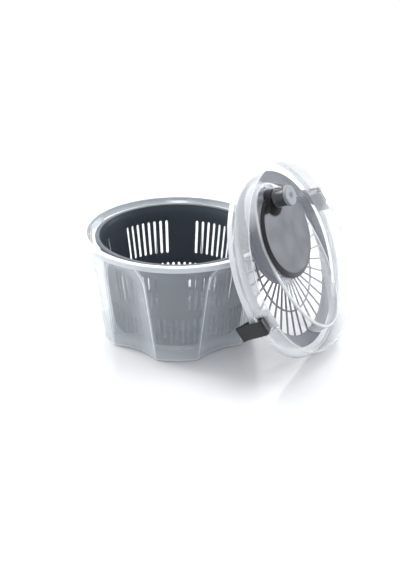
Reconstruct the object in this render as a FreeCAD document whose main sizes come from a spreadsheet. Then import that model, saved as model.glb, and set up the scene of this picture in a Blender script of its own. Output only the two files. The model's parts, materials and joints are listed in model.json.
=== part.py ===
# Hand-cranked salad spinner, lid off: the bowl stands on the floor with its basket on the
# spindle, and the lid leans on the bowl's rim with its crank, gears, strainer and clips.
# The origin is the centre of the bowl's flat base, +Z up. Sizes are in millimetres.
import FreeCAD, Part
import math
import os

import Sketcher
from fcgear import fcgear
from fcgear import involute

Vector = FreeCAD.Vector
Rotation = FreeCAD.Rotation
Placement = FreeCAD.Placement

document = FreeCAD.newDocument("salad_spinner")
sheet = document.addObject("Spreadsheet::Sheet", "dims")

DIMENSIONS = {
    # bowl, in its own frame: floor at zero
    "bowl_height": 143.0,
    "bowl_base_radius": 99.5,
    "bowl_top_radius": 119.5,
    "bowl_wall": 2.2,
    "bowl_corner": 4.0,
    "rim_bevel": 1.0,
    "rim_radius": 125.4,
    "rim_inner_radius": 116.2,
    "rim_lip": 7.0,
    "lobe_count": 5,
    "lobe_recess_radius": 80.0,
    "lobe_recess_depth": 12.5,
    "lobe_recess_height": 94.0,
    "lobe_recess_lean": 9.5,
    "lobe_recess_overrun": 20.0,
    # spindle, bush and basket
    "spindle_radius": 5.0,
    "spindle_boss_radius": 13.0,
    "spindle_boss_height": 8.0,
    "spindle_height": 32.0,
    "spindle_tip": 2.0,
    "bush_radius": 8.0,
    "bush_flange_radius": 12.0,
    "bush_flange_thickness": 1.5,
    "bush_cap": 2.0,
    "running_gap": 0.05,
    "basket_floor": 14.0,
    "basket_floor_thickness": 2.0,
    "basket_wall": 1.8,
    "basket_base_radius": 85.0,
    "basket_top_radius": 103.5,
    "basket_rim_radius": 107.0,
    "basket_rim_height": 138.0,
    "basket_hub_radius": 11.5,
    "basket_hub_flare": 8.0,
    "basket_hub_flare_height": 12.0,
    "basket_rim_thickness": 3.0,
    "slot_width": 3.6,
    "slot_pitch": 5.0,
    "low_slot_bottom": 20.0,
    "low_slot_top": 56.0,
    "high_slot_bottom": 70.0,
    "high_slot_top": 116.0,
    "high_slot_groups": 6,
    "high_slots_per_group": 8,
    "slot_cutter_length": 40.0,
    "floor_slot_length": 32.0,
    "floor_slot_start": 36.0,
    "floor_slot_spacing": 3,
    # lid, in its own frame: the face that rests on the bowl's rim is at zero
    "lid_radius": 127.5,
    "lid_lip": 6.0,
    "lid_lip_wall": 1.4,
    "lid_wall": 2.0,
    "band_height": 22.0,
    "band_top_radius": 123.4,
    "oval_half_length": 111.0,
    "oval_half_width": 62.0,
    "oval_draft": 3.0,
    "oval_top": 16.0,
    "turret_hole_radius": 52.6,
    "boss_radius": 3.6,
    "boss_circle": 58.0,
    "screw_radius": 1.5,
    "cover_screw_length": 9.0,
    "notch_depth": 16.5,
    "notch_inset": 5.0,
    "shield_height": 18.0,
    # clips
    "clip_width": 22.0,
    "clip_radius": 121.0,
    "clip_axis_height": 6.4,
    "clip_barrel": 4.0,
    "clip_thickness": 2.6,
    "clip_reach": 12.5,
    "clip_length": 31.0,
    "clip_pin_radius": 1.5,
    "clip_lug": 3.0,
    "clip_lug_length": 9.0,
    "clip_side_gap": 0.4,
    "clip_open_angle": 8.0,
    # gear train
    "crank_offset": 39.0,
    "gear_module": 1.5,
    "ring_teeth": 64,
    "pinion_teeth": 12,
    "ring_outer_radius": 51.8,
    "ring_bottom": 3.0,
    "ring_top": 13.0,
    "pinion_bottom": 3.6,
    "pinion_top": 12.0,
    "gear_backlash_shift": 0.08,
    # gear cover and bearings
    "cover_radius": 62.0,
    "cover_thickness": 2.0,
    "cover_wall_radius": 54.0,
    "cover_wall": 1.5,
    "cover_wall_height": 9.0,
    "axle_radius": 4.0,
    "crank_bush_radius": 6.0,
    "crank_boss_radius": 9.0,
    "crank_boss_top": 10.0,
    "pinion_bush_radius": 5.5,
    "pinion_boss_radius": 7.0,
    "pinion_boss_top": 2.4,
    "pinion_boss_bottom": -3.0,
    "bush_flange_height": 1.0,
    "axle_bottom": -2.2,
    "axle_top": 18.0,
    "shaft_bottom": -6.5,
    "shaft_root": 1.0,
    "thrust_washer_thickness": 0.9,
    "thrust_washer_gap": 0.2,
    "axle_washer_radius": 7.5,
    "axle_washer_thickness": 1.0,
    "fixing_radius": 1.6,
    "fixing_depth": 8.0,
    "axle_fixing_length": 7.2,
    "fixing_head_radius": 3.5,
    "fixing_head_height": 1.8,
    # crank and knob
    "crank_radius": 57.5,
    "crank_bottom": 16.6,
    "crank_edge": 2.4,
    "crank_top": 21.6,
    "facet_radius": 52.4,
    "facet_shift": 3.4,
    "crank_angle": -7.0,
    "crank_rib": 5.0,
    "knob_offset": 88.0,
    "pedestal_top": 27.0,
    "pedestal_radius": 12.6,
    "pedestal_flare": 13.4,
    "knob_radius": 12.2,
    "knob_bottom": 27.3,
    "knob_top": 44.0,
    "knob_cap_radius": 12.9,
    "knob_cap_top": 48.5,
    "knob_pin_radius": 2.5,
    "knob_pin_top": 41.4,
    "knob_pin_head_radius": 5.0,
    "knob_pin_head_height": 1.8,
    "knob_socket_radius": 5.4,
    "knob_waist": 0.9,
    "cap_dimple_radius": 2.2,
    "cap_dimple_depth": 1.6,
    # strainer disc
    "strainer_radius": 115.0,
    "strainer_step_radius": 100.7,
    "strainer_top": -3.2,
    "strainer_thickness": 2.4,
    "spoke_top": -7.0,
    "spoke_bottom": -9.0,
    "spoke_width": 2.2,
    "spoke_count": 36,
    "cross_ring_radius": 67.0,
    "strainer_hub_radius": 22.0,
    "strainer_boss_radius": 12.0,
    "strainer_boss_top": -3.3,
    "cross_ring_width": 2.2,
    "spoke_start": 5.0,
    "strainer_screw_head": 4.6,
    "strainer_screw_recess": 5.0,
    "strainer_screw_bottom": -8.6,
    "strainer_web": -7.0,
    # how the lid leans on the bowl
    "lean_azimuth": -29.0,
    "lean_elevation": 23.0,
    "lid_roll": 20.0,
    "lid_side_shift": 31.0,
    "floor_gap": 0.3,
    "rest_gap": 0.4,
}

for row, (alias, size) in enumerate(DIMENSIONS.items(), start=1):
    sheet.set(f"A{row}", alias)
    sheet.set(f"B{row}", str(size))
    sheet.setAlias(f"B{row}", alias)
document.recompute()


# ---------------------------------------------------------------- helpers

def number(expression):
    """The value of an expression of the sheet's aliases, as a plain number."""
    value = sheet.evalExpression(with_sheet(expression))
    return float(getattr(value, "Value", value))


def with_sheet(expression):
    """Writes dims. before each alias of the expression."""
    words = []
    word = ""
    for character in str(expression) + " ":
        if character.isalnum() or character == "_":
            word += character
            continue
        words.append(f"dims.{word}" if word in DIMENSIONS else word)
        words.append(character)
        word = ""
    return "".join(words).strip()


def bind(thing, **sizes):
    """Binds properties to expressions; x, y and z are the placement's position."""
    for name, expression in sizes.items():
        path = f".Placement.Base.{name}" if name in ("x", "y", "z") else name
        thing.setExpression(path, with_sheet(expression))
    return thing


def cylinder(radius, height, **place):
    return bind(document.addObject("Part::Cylinder", "cylinder"), Radius=radius, Height=height, **place)


def cone(bottom_radius, top_radius, height, **place):
    solid = document.addObject("Part::Cone", "cone")
    return bind(solid, Radius1=bottom_radius, Radius2=top_radius, Height=height, **place)


def box(length, width, height, **place):
    return bind(document.addObject("Part::Box", "box"), Length=length, Width=width, Height=height, **place)


def fuse(*shapes):
    joined = document.addObject("Part::MultiFuse", "fuse")
    joined.Shapes = list(shapes)
    joined.Refine = True
    return joined


def cut(base, *tools):
    difference = document.addObject("Part::Cut", "cut")
    difference.Base = base
    difference.Tool = tools[0] if len(tools) == 1 else fuse(*tools)
    difference.Refine = True
    return difference


def tube(outer, inner, height, **place):
    """A cylinder with a hole that runs through both its ends."""
    bore = dict(place)
    bore["z"] = f"{place.get('z', '0')} - 1"
    return cut(cylinder(outer, height, **place), cylinder(inner, f"{height} + 2", **bore))


def new_body(name):
    return document.addObject("PartDesign::Body", name)


def sketch_on(body, plane, name, height=None):
    sketch = body.newObject("Sketcher::SketchObject", name)
    support = next(item for item in body.Origin.OriginFeatures if item.Role == plane)
    sketch.AttachmentSupport = (support, [""])
    sketch.MapMode = "FlatFace"
    if height is not None:
        sketch.setExpression(".AttachmentOffset.Base.z", with_sheet(height))
    return sketch


def pin_point(sketch, geometry, point, across, up):
    """Holds one sketch point at a place worked out from the sheet."""
    for direction, axis, expression in (("DistanceX", -2, across), ("DistanceY", -1, up)):
        if expression == "0":
            sketch.addConstraint(Sketcher.Constraint("PointOnObject", geometry, point, axis))
            continue
        distance = Sketcher.Constraint(direction, -1, 1, geometry, point, number(expression))
        index = sketch.addConstraint(distance)
        sketch.setExpression(f"Constraints[{index}]", with_sheet(expression))


def polygon(sketch, corners):
    """A closed outline of straight lines through corners given as pairs of expressions."""
    first = sketch.GeometryCount
    places = [Vector(number(across), number(up), 0) for across, up in corners]
    for start, end in zip(places, places[1:] + places[:1]):
        sketch.addGeometry(Part.LineSegment(start, end))
    for index, (across, up) in enumerate(corners):
        following = first + (index + 1) % len(corners)
        sketch.addConstraint(Sketcher.Constraint("Coincident", first + index, 2, following, 1))
        pin_point(sketch, first + index, 1, across, up)


def circle(sketch, radius, across="0", up="0"):
    centre = Vector(number(across), number(up), 0)
    index = sketch.addGeometry(Part.Circle(centre, Vector(0, 0, 1), number(radius)))
    limit = sketch.addConstraint(Sketcher.Constraint("Radius", index, number(radius)))
    sketch.setExpression(f"Constraints[{limit}]", with_sheet(radius))
    pin_point(sketch, index, 3, across, up)


def oval(sketch, half_width, half_length):
    """An ellipse about the sketch's origin, its long axis up the sketch."""
    tip = Vector(0, number(half_length), 0)
    side = Vector(-number(half_width), 0, 0)
    index = sketch.addGeometry(Part.Ellipse(tip, side, Vector(0, 0, 0)))
    sketch.addConstraint(Sketcher.Constraint("Block", index))


def revolved(body, corners, name="revolution"):
    """Turns an outline of radius and height pairs about the body's Z axis."""
    sketch = sketch_on(body, "XZ_Plane", f"{name}_outline")
    polygon(sketch, corners)
    revolution = body.newObject("PartDesign::Revolution", name)
    revolution.Profile = sketch
    revolution.ReferenceAxis = (sketch, ["V_Axis"])
    revolution.Angle = 360.0
    body.Tip = revolution
    return revolution


def pad(body, sketch, height, midplane=False):
    extrusion = body.newObject("PartDesign::Pad", "pad")
    extrusion.Profile = sketch
    extrusion.Midplane = midplane
    bind(extrusion, Length=height)
    body.Tip = extrusion
    return extrusion


def pocket(body, sketch, depth):
    """Cuts the sketch's outline out of the body, upwards from the sketch."""
    document.recompute()
    before = body.Shape.Volume
    hollow = body.newObject("PartDesign::Pocket", "pocket")
    hollow.Profile = sketch
    hollow.Reversed = True
    bind(hollow, Length=depth)
    body.Tip = hollow
    document.recompute()
    if body.Shape.Volume >= before:
        raise RuntimeError(f"{body.Name}: a pocket cut nothing")
    return hollow


def loft(body, kind, *sketches):
    skin = body.newObject(f"PartDesign::{kind}Loft", "loft")
    skin.Profile = sketches[0]
    skin.Sections = list(sketches[1:])
    body.Tip = skin
    return skin


def around(body, feature, count):
    """Repeats a feature evenly about the body's Z axis."""
    pattern = body.newObject("PartDesign::PolarPattern", "pattern")
    pattern.Originals = [feature]
    axis = next(item for item in body.Origin.OriginFeatures if item.Role == "Z_Axis")
    pattern.Axis = (axis, [""])
    pattern.Angle = 360.0
    bind(pattern, Occurrences=count)
    body.Tip = pattern
    return pattern


parts = []


def finish(label, thing, place=None):
    """Names a sub-part, puts it in its place and lists it for export."""
    thing.Label = label
    if place is not None:
        thing.Placement = place
    parts.append(thing)
    return thing


# ---------------------------------------------------------------- bowl

def lobe_recesses(extra):
    """Round-topped columns that lean with the wall and press the recesses into it."""
    columns = []
    radius = f"lobe_recess_radius + {extra}"
    distance = number("bowl_base_radius - lobe_recess_depth + lobe_recess_radius")
    count = int(number("lobe_count"))
    for index in range(count):
        bearing = Rotation(Vector(0, 0, 1), 90.0 + 360.0 * index / count)
        top = document.addObject("Part::Sphere", "sphere")
        bind(top, Radius=radius, z="lobe_recess_height")
        shaft = cylinder(radius, "lobe_recess_height + lobe_recess_overrun", z="-lobe_recess_overrun")
        column = fuse(shaft, top)
        column.Placement = Placement(
            bearing.multVec(Vector(distance, 0, 0)),
            bearing.multiply(Rotation(Vector(0, 1, 0), number("lobe_recess_lean"))),
        )
        columns.append(column)
    return fuse(*columns)


def make_bowl():
    outside = new_body("bowl_outside")
    revolved(outside, [
        ("0", "0"),
        ("bowl_base_radius - bowl_corner", "0"),
        ("bowl_base_radius - 0.3 * bowl_corner", "0.3 * bowl_corner"),
        ("bowl_base_radius + 0.15 * bowl_corner", "bowl_corner"),
        ("bowl_top_radius", "bowl_height - 1"),
        ("0", "bowl_height - 1"),
    ])
    inside = new_body("bowl_inside")
    revolved(inside, [
        ("0", "bowl_wall"),
        ("bowl_base_radius - bowl_corner - 0.5 * bowl_wall", "bowl_wall"),
        ("bowl_base_radius - bowl_wall + 0.15 * bowl_corner", "bowl_wall + bowl_corner"),
        ("bowl_top_radius - bowl_wall", "bowl_height - 1"),
        ("bowl_top_radius - bowl_wall", "bowl_height + 5"),
        ("0", "bowl_height + 5"),
    ])
    rim = new_body("bowl_rim")
    revolved(rim, [
        ("rim_inner_radius", "bowl_height - bowl_wall"),
        ("rim_inner_radius", "bowl_height"),
        ("rim_radius - rim_bevel", "bowl_height"),
        ("rim_radius", "bowl_height - rim_bevel"),
        ("rim_radius", "bowl_height - rim_lip"),
        ("rim_radius - bowl_wall + 0.2", "bowl_height - rim_lip"),
        ("rim_radius - bowl_wall + 0.2", "bowl_height - bowl_wall"),
    ])
    shell = cut(cut(outside, lobe_recesses("0")), cut(inside, lobe_recesses("bowl_wall")))
    boss = cone("spindle_boss_radius", "spindle_boss_radius - 3", "spindle_boss_height - 1", z="1")
    socket = cylinder("spindle_radius", "spindle_boss_height + 2", z="bowl_wall")
    finish("bowl", cut(fuse(shell, rim, boss), socket))


def make_spindle():
    spindle = new_body("spindle_body")
    revolved(spindle, [
        ("0", "bowl_wall"),
        ("spindle_radius", "bowl_wall"),
        ("spindle_radius", "spindle_height - spindle_tip"),
        ("spindle_radius - spindle_tip", "spindle_height"),
        ("0", "spindle_height"),
    ])
    finish("spindle", spindle)


# ---------------------------------------------------------------- basket

def make_basket_bush():
    bush = new_body("basket_bush_body")
    top = "spindle_height + 2 * running_gap"
    flange_top = "basket_floor - 2 * running_gap"
    revolved(bush, [
        ("spindle_radius + running_gap", f"{flange_top} - bush_flange_thickness"),
        ("bush_flange_radius", f"{flange_top} - bush_flange_thickness"),
        ("bush_flange_radius", flange_top),
        ("bush_radius", flange_top),
        ("bush_radius", f"{top} + bush_cap"),
        ("0", f"{top} + bush_cap"),
        ("0", top),
        ("spindle_radius + running_gap", top),
    ])
    finish("basket_bush", bush)


def radial_boxes(bearings, start, length, bottom, top):
    """Upright slot-wide boxes that point outwards at each bearing, clear of each other."""
    cutters = []
    for bearing in bearings:
        cutter = box(length, "slot_width", f"{top} - ({bottom})")
        turn = Rotation(Vector(0, 0, 1), bearing)
        corner = Vector(number(start), -0.5 * number("slot_width"), number(bottom))
        cutter.Placement = Placement(turn.multVec(corner), turn)
        cutters.append(cutter)
    return cutters


def make_basket():
    basket = new_body("basket_body")
    bush_top = "spindle_height + 4 * running_gap + bush_cap"
    hub_top = f"{bush_top} + basket_floor_thickness"
    bore = "bush_radius + running_gap"
    floor_top = "basket_floor + basket_floor_thickness"
    revolved(basket, [
        (bore, "basket_floor"),
        ("basket_base_radius", "basket_floor"),
        ("basket_top_radius", "basket_rim_height - basket_rim_thickness"),
        ("basket_rim_radius", "basket_rim_height - basket_rim_thickness"),
        ("basket_rim_radius", "basket_rim_height"),
        ("basket_top_radius - basket_wall", "basket_rim_height"),
        ("basket_base_radius - basket_wall", floor_top),
        ("basket_hub_radius + basket_hub_flare", floor_top),
        ("basket_hub_radius", "basket_floor + basket_hub_flare_height"),
        ("basket_hub_radius", hub_top),
        ("0", hub_top),
        ("0", bush_top),
        (bore, bush_top),
    ])
    pitch = number("slot_pitch")
    low_bearings = [pitch * index for index in range(round(360 / pitch))]
    group_angle = 360.0 / number("high_slot_groups")
    in_group = int(number("high_slots_per_group"))
    high_bearings = []
    for group in range(int(number("high_slot_groups"))):
        start = group * group_angle - 0.5 * pitch * (in_group - 1)
        high_bearings += [start + pitch * slot for slot in range(in_group)]
    spacing = number("floor_slot_spacing") * pitch
    floor_bearings = [spacing * index for index in range(round(360 / spacing))]

    slots = document.addObject("Part::Compound", "basket_slots")
    wall_start = "basket_base_radius - 12"
    slots.Links = (
        radial_boxes(low_bearings, wall_start, "slot_cutter_length", "low_slot_bottom", "low_slot_top")
        + radial_boxes(high_bearings, wall_start, "slot_cutter_length", "high_slot_bottom",
                       "high_slot_top")
        + radial_boxes(floor_bearings, "floor_slot_start", "floor_slot_length", "basket_floor - 2",
                       "basket_floor + basket_floor_thickness + 2")
    )
    drained = document.addObject("Part::Cut", "basket_drained")
    drained.Base = basket
    drained.Tool = slots
    finish("basket", drained)


# ---------------------------------------------------------------- lid and its fittings

def lid_placement():
    """The lid's own frame, leaned against the rim with its lip just off the floor."""
    azimuth = math.radians(number("lean_azimuth"))
    elevation = math.radians(number("lean_elevation"))
    ahead = Vector(math.cos(azimuth), math.sin(azimuth), 0)
    normal = ahead * math.cos(elevation) + Vector(0, 0, math.sin(elevation))
    sideways = Vector(0, 0, 1).cross(ahead)
    uphill = normal.cross(sideways)
    roll = math.radians(number("lid_roll"))
    lid_x = sideways * math.cos(roll) + uphill * math.sin(roll)
    lid_y = uphill * math.cos(roll) - sideways * math.sin(roll)

    centre_height = (number("lid_radius") * math.cos(elevation) + number("lid_lip") * math.sin(elevation)
                     + number("floor_gap"))
    rim_contact = ahead * number("rim_radius") + Vector(0, 0, number("bowl_height"))
    plane_distance = normal.dot(rim_contact) - number("spoke_bottom") + number("rest_gap")
    reach = (plane_distance - math.sin(elevation) * centre_height) / math.cos(elevation)
    origin = ahead * reach + sideways * number("lid_side_shift") + Vector(0, 0, centre_height)
    return Placement(origin, Rotation(lid_x, lid_y, normal, "ZXY"))


LEAN = lid_placement()
CRANK_TURN = Placement(Vector(0, 0, 0), Rotation(Vector(0, 0, 1), number("crank_angle")),
                       Vector(0, number("crank_offset"), 0))
BOSS_BEARINGS = (90.0, -50.0, 230.0)


def boss_centres():
    """Where the three bosses for the gear cover's screws hang, about the crank's axis."""
    centres = []
    for bearing in BOSS_BEARINGS:
        across = f"boss_circle * {math.cos(math.radians(bearing)):.6f}"
        along = f"crank_offset + boss_circle * {math.sin(math.radians(bearing)):.6f}"
        centres.append((across, along))
    return centres


def make_lid_shell():
    lid = new_body("lid_plate")
    revolved(lid, [
        ("0", "0"),
        ("lid_radius - lid_lip_wall", "0"),
        ("lid_radius - lid_lip_wall", "-lid_lip"),
        ("lid_radius", "-lid_lip"),
        ("lid_radius", "1"),
        ("band_top_radius", "band_height - 1"),
        ("band_top_radius - 1", "band_height"),
        ("band_top_radius - lid_wall - 0.5", "band_height - 1"),
        ("lid_radius - lid_wall - 1", "lid_wall"),
        ("0", "lid_wall"),
    ])
    low = sketch_on(lid, "XY_Plane", "oval_foot")
    oval(low, "oval_half_width + oval_draft", "oval_half_length + oval_draft")
    high = sketch_on(lid, "XY_Plane", "oval_head", "oval_top")
    oval(high, "oval_half_width", "oval_half_length")
    loft(lid, "Additive", low, high)

    low_hollow = sketch_on(lid, "XY_Plane", "hollow_foot")
    oval(low_hollow, "oval_half_width + oval_draft - lid_wall", "oval_half_length + oval_draft - lid_wall")
    high_hollow = sketch_on(lid, "XY_Plane", "hollow_head", "oval_top - lid_wall")
    oval(high_hollow, "oval_half_width - lid_wall", "oval_half_length - lid_wall")
    loft(lid, "Subtractive", low_hollow, high_hollow)

    opening = sketch_on(lid, "XY_Plane", "turret_hole", "oval_top - lid_wall - 1")
    circle(opening, "turret_hole_radius", up="crank_offset")
    pocket(lid, opening, "lid_wall + 2")

    for index, (across, along) in enumerate(boss_centres()):
        boss = sketch_on(lid, "XY_Plane", f"boss_{index}")
        circle(boss, "boss_radius", across, along)
        circle(boss, "screw_radius", across, along)
        pad(lid, boss, "oval_top - 0.5 * lid_wall")

    fittings = []
    notches = []
    for side in (1, -1):
        half = "0.5 * clip_width + clip_side_gap"
        inner = "clip_radius - notch_inset" if side > 0 else "notch_inset - clip_radius - notch_depth"
        notches.append(box("notch_depth", f"2 * ({half})", "band_height + 5", x=inner, y=f"-({half})",
                           z="lid_wall"))
        lug_start = "clip_radius - notch_inset" if side > 0 else "notch_inset - clip_radius - clip_lug_length"
        for along in (half, f"-({half}) - clip_lug"):
            height = "clip_axis_height + clip_barrel - 0.5 * lid_wall"
            lug = box("clip_lug_length", "clip_lug", height, x=lug_start, y=along, z="0.5 * lid_wall")
            fittings.append(lug)
        shield_start = "clip_radius - notch_inset - lid_wall" if side > 0 else "notch_inset - clip_radius"
        fittings.append(box("lid_wall", f"2 * ({half} + clip_lug)", "shield_height", x=shield_start,
                            y=f"-({half} + clip_lug)", z="0.5 * lid_wall"))
    holes = []
    for side in (1, -1):
        hole = cylinder("clip_pin_radius", "clip_width + 4 * clip_lug")
        hole.Placement.Rotation = Rotation(Vector(1, 0, 0), 90)
        bind(hole, x=f"{side} * clip_radius", y="0.5 * clip_width + 2 * clip_lug", z="clip_axis_height")
        holes.append(hole)
    shell = cut(fuse(cut(lid, *notches), *fittings), *holes)
    finish("lid_shell", shell, LEAN)


def make_clip_pins():
    for name, side in (("clip_pin_far", 1), ("clip_pin_near", -1)):
        length = "clip_width + 2 * clip_side_gap + 2 * clip_lug"
        rod = cylinder("clip_pin_radius", length)
        half = 0.5 * number(length)
        upright = Placement(Vector(side * number("clip_radius"), half, number("clip_axis_height")),
                            Rotation(Vector(1, 0, 0), 90))
        finish(name, rod, LEAN.multiply(upright))


def make_clips():
    """Each clip is drawn shut over the rim about its own hinge line, then swung a little open."""
    for name, turn in (("clip_far", 0.0), ("clip_near", 180.0)):
        clip = new_body(f"{name}_body")
        outline = sketch_on(clip, "XZ_Plane", "strap_outline")
        inner = "clip_reach - clip_thickness"
        polygon(outline, [
            ("0", "clip_barrel - clip_thickness"),
            (f"{inner} - 1", "clip_barrel - clip_thickness"),
            (inner, "clip_barrel - clip_thickness - 1"),
            (inner, "-13.9"),
            ("3.6", "-14.7"),
            ("3.6", "-16.4"),
            (inner, "-20"),
            (inner, "2 - clip_length"),
            ("clip_reach - 1", "-clip_length"),
            ("clip_reach + 1.5", "-clip_length"),
            ("clip_reach", "4 - clip_length"),
            ("clip_reach", "clip_barrel - 2"),
            ("clip_reach - 2", "clip_barrel"),
            ("0", "clip_barrel"),
        ])
        pad(clip, outline, "clip_width", midplane=True)
        barrel = sketch_on(clip, "XZ_Plane", "barrel_outline")
        circle(barrel, "clip_barrel")
        pad(clip, barrel, "clip_width", midplane=True)
        document.recompute()
        hole = sketch_on(clip, "XZ_Plane", "pin_hole")
        circle(hole, "clip_pin_radius + running_gap")
        through = pocket(clip, hole, "clip_width + 2")
        through.Midplane = True
        hinge = Placement(Vector(number("clip_radius"), 0, number("clip_axis_height")),
                          Rotation(Vector(0, -1, 0), number("clip_open_angle")))
        bearing = Placement(Vector(0, 0, 0), Rotation(Vector(0, 0, 1), turn))
        finish(name, clip, LEAN.multiply(bearing).multiply(hinge))


def make_gear_cover():
    plate = cylinder("cover_radius", "cover_thickness", y="crank_offset", z="-cover_thickness")
    wall = tube("cover_wall_radius", "cover_wall_radius - cover_wall",
                "cover_wall_height + 0.5 * cover_thickness", y="crank_offset", z="-0.5 * cover_thickness")
    crank_boss = cylinder("crank_boss_radius", "crank_boss_top + 1", y="crank_offset", z="-1")
    pinion_boss = cylinder("pinion_boss_radius", "pinion_boss_top - pinion_boss_bottom", z="pinion_boss_bottom")
    holes = [
        cylinder("crank_bush_radius", "crank_boss_top + 10", y="crank_offset", z="-5"),
        cylinder("pinion_bush_radius", "pinion_boss_top + 15", z="-10"),
    ]
    for across, along in boss_centres():
        holes.append(cylinder("screw_radius", "6", x=across, y=along, z="-4"))
        holes.append(cone("2 * screw_radius", "screw_radius", "screw_radius",
                          x=across, y=along, z="-cover_thickness"))
    finish("gear_cover", cut(fuse(plate, wall, crank_boss, pinion_boss), *holes), LEAN)


def make_cover_screws():
    screws = []
    for across, along in boss_centres():
        head = cone("2 * screw_radius", "screw_radius", "screw_radius",
                    x=across, y=along, z="-cover_thickness")
        shank = cylinder("screw_radius", "cover_screw_length", x=across, y=along,
                         z="-cover_thickness + screw_radius")
        screws.append(fuse(head, shank))
    group = document.addObject("Part::Compound", "cover_screw_group")
    group.Links = screws
    finish("cover_screws", group, LEAN)


def make_bushes():
    sleeve = tube("crank_bush_radius", "axle_radius + running_gap", "crank_boss_top + cover_thickness",
                  y="crank_offset", z="-cover_thickness")
    flange = tube("crank_boss_radius - 0.5", "axle_radius + running_gap", "bush_flange_height",
                  y="crank_offset", z="crank_boss_top")
    finish("crank_bush", fuse(sleeve, flange), LEAN)
    finish("pinion_bush", tube("pinion_bush_radius", "axle_radius + running_gap",
                               "pinion_boss_top - pinion_boss_bottom", z="pinion_boss_bottom"), LEAN)


# ---------------------------------------------------------------- gears

def gear_solid(teeth, bottom, top, outside):
    """An involute gear's outline extruded between two heights; outside is False for a ring."""
    builder = fcgear.FCWireBuilder()
    module = number("gear_module")
    shift = number("gear_backlash_shift")
    if outside:
        involute.CreateExternalGear(builder, module, teeth, 20.0, split=True, addCoeff=0.9,
                                    dedCoeff=1.25, filletCoeff=0.3, shiftCoeff=-shift)
    else:
        involute.CreateInternalGear(builder, module, teeth, 20.0, split=True, addCoeff=0.6,
                                    dedCoeff=1.15, filletCoeff=0.2, shiftCoeff=shift)
    outline = document.addObject("Part::Feature", "gear_outline")
    outline.Shape = Part.Wire([edge.toShape() for edge in builder.wire])
    solid = document.addObject("Part::Extrusion", "gear_extrusion")
    solid.Base = outline
    solid.DirMode = "Custom"
    solid.Dir = Vector(0, 0, 1)
    solid.Solid = True
    bind(solid, LengthFwd=f"{top} - ({bottom})")
    document.recompute()
    return solid


def make_ring_gear():
    teeth = int(number("ring_teeth"))
    blank = cylinder("ring_outer_radius", "ring_top - ring_bottom", y="crank_offset", z="ring_bottom")
    space = gear_solid(teeth, "ring_bottom - 1", "ring_top + 1", outside=False)
    space.Placement = Placement(Vector(0, number("crank_offset"), number("ring_bottom - 1")),
                                Rotation(Vector(0, 0, 1), -90))
    finish("ring_gear", cut(blank, space), LEAN)


def make_drive_pinion():
    teeth = int(number("pinion_teeth"))
    gear = gear_solid(teeth, "pinion_bottom", "pinion_top", outside=True)
    half_tooth = 180.0 / teeth
    gear.Placement = Placement(Vector(0, 0, number("pinion_bottom")),
                               Rotation(Vector(0, 0, 1), half_tooth - 90))
    shaft = cylinder("axle_radius", "pinion_bottom + shaft_root - shaft_bottom", z="shaft_bottom")
    hole = cylinder("fixing_radius", "fixing_depth", z="shaft_bottom")
    finish("drive_pinion", cut(fuse(gear, shaft), hole), LEAN)
    finish("pinion_washer", tube("pinion_boss_radius", "axle_radius", "thrust_washer_thickness",
                                 z="pinion_boss_top + thrust_washer_gap"), LEAN)


# ---------------------------------------------------------------- crank and knob

def make_crank_disc():
    disc = new_body("crank_disc_plate")
    edge = sketch_on(disc, "XY_Plane", "disc_edge", "crank_bottom")
    circle(edge, "crank_radius", up="crank_offset")
    pad(disc, edge, "crank_edge")
    low = sketch_on(disc, "XY_Plane", "facet_foot", "crank_bottom + crank_edge")
    circle(low, "crank_radius", up="crank_offset")
    high = sketch_on(disc, "XY_Plane", "facet_top", "crank_top")
    circle(high, "facet_radius", up="crank_offset + facet_shift")
    loft(disc, "Additive", low, high)
    flare = sketch_on(disc, "XY_Plane", "pedestal_foot", "crank_bottom")
    circle(flare, "pedestal_flare", up="knob_offset")
    neck = sketch_on(disc, "XY_Plane", "pedestal_neck", "pedestal_top")
    circle(neck, "pedestal_radius", up="knob_offset")
    loft(disc, "Additive", flare, neck)
    rib = tube("ring_outer_radius", "ring_outer_radius - crank_rib", "crank_bottom - ring_top + 0.5",
               y="crank_offset", z="ring_top")
    hub = cylinder("2 * axle_radius", "crank_bottom - crank_boss_top - 0.7", y="crank_offset",
                   z="crank_boss_top + 1.2")
    axle_hole = cylinder("axle_radius", "axle_top - axle_bottom", y="crank_offset", z="axle_bottom")
    pin_hole = cylinder("knob_pin_radius", "pedestal_top", y="knob_offset", z="crank_bottom + 2")
    finish("crank_disc", cut(fuse(disc, rib, hub), axle_hole, pin_hole), LEAN.multiply(CRANK_TURN))


def make_crank_axle():
    rod = cylinder("axle_radius", "axle_top - axle_bottom", y="crank_offset", z="axle_bottom")
    hole = cylinder("fixing_radius", "fixing_depth", y="crank_offset", z="axle_bottom")
    finish("crank_axle", cut(rod, hole), LEAN)
    washer_bottom = "axle_bottom - axle_washer_thickness"
    finish("axle_washer", tube("axle_washer_radius", "fixing_radius", "axle_washer_thickness",
                               y="crank_offset", z=washer_bottom), LEAN)
    head = cylinder("fixing_head_radius", "fixing_head_height", y="crank_offset",
                    z=f"{washer_bottom} - fixing_head_height")
    shank = cylinder("fixing_radius", "axle_fixing_length + 0.5 * fixing_head_height", y="crank_offset",
                     z=f"{washer_bottom} - 0.5 * fixing_head_height")
    finish("axle_screw", fuse(head, shank), LEAN)


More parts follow.
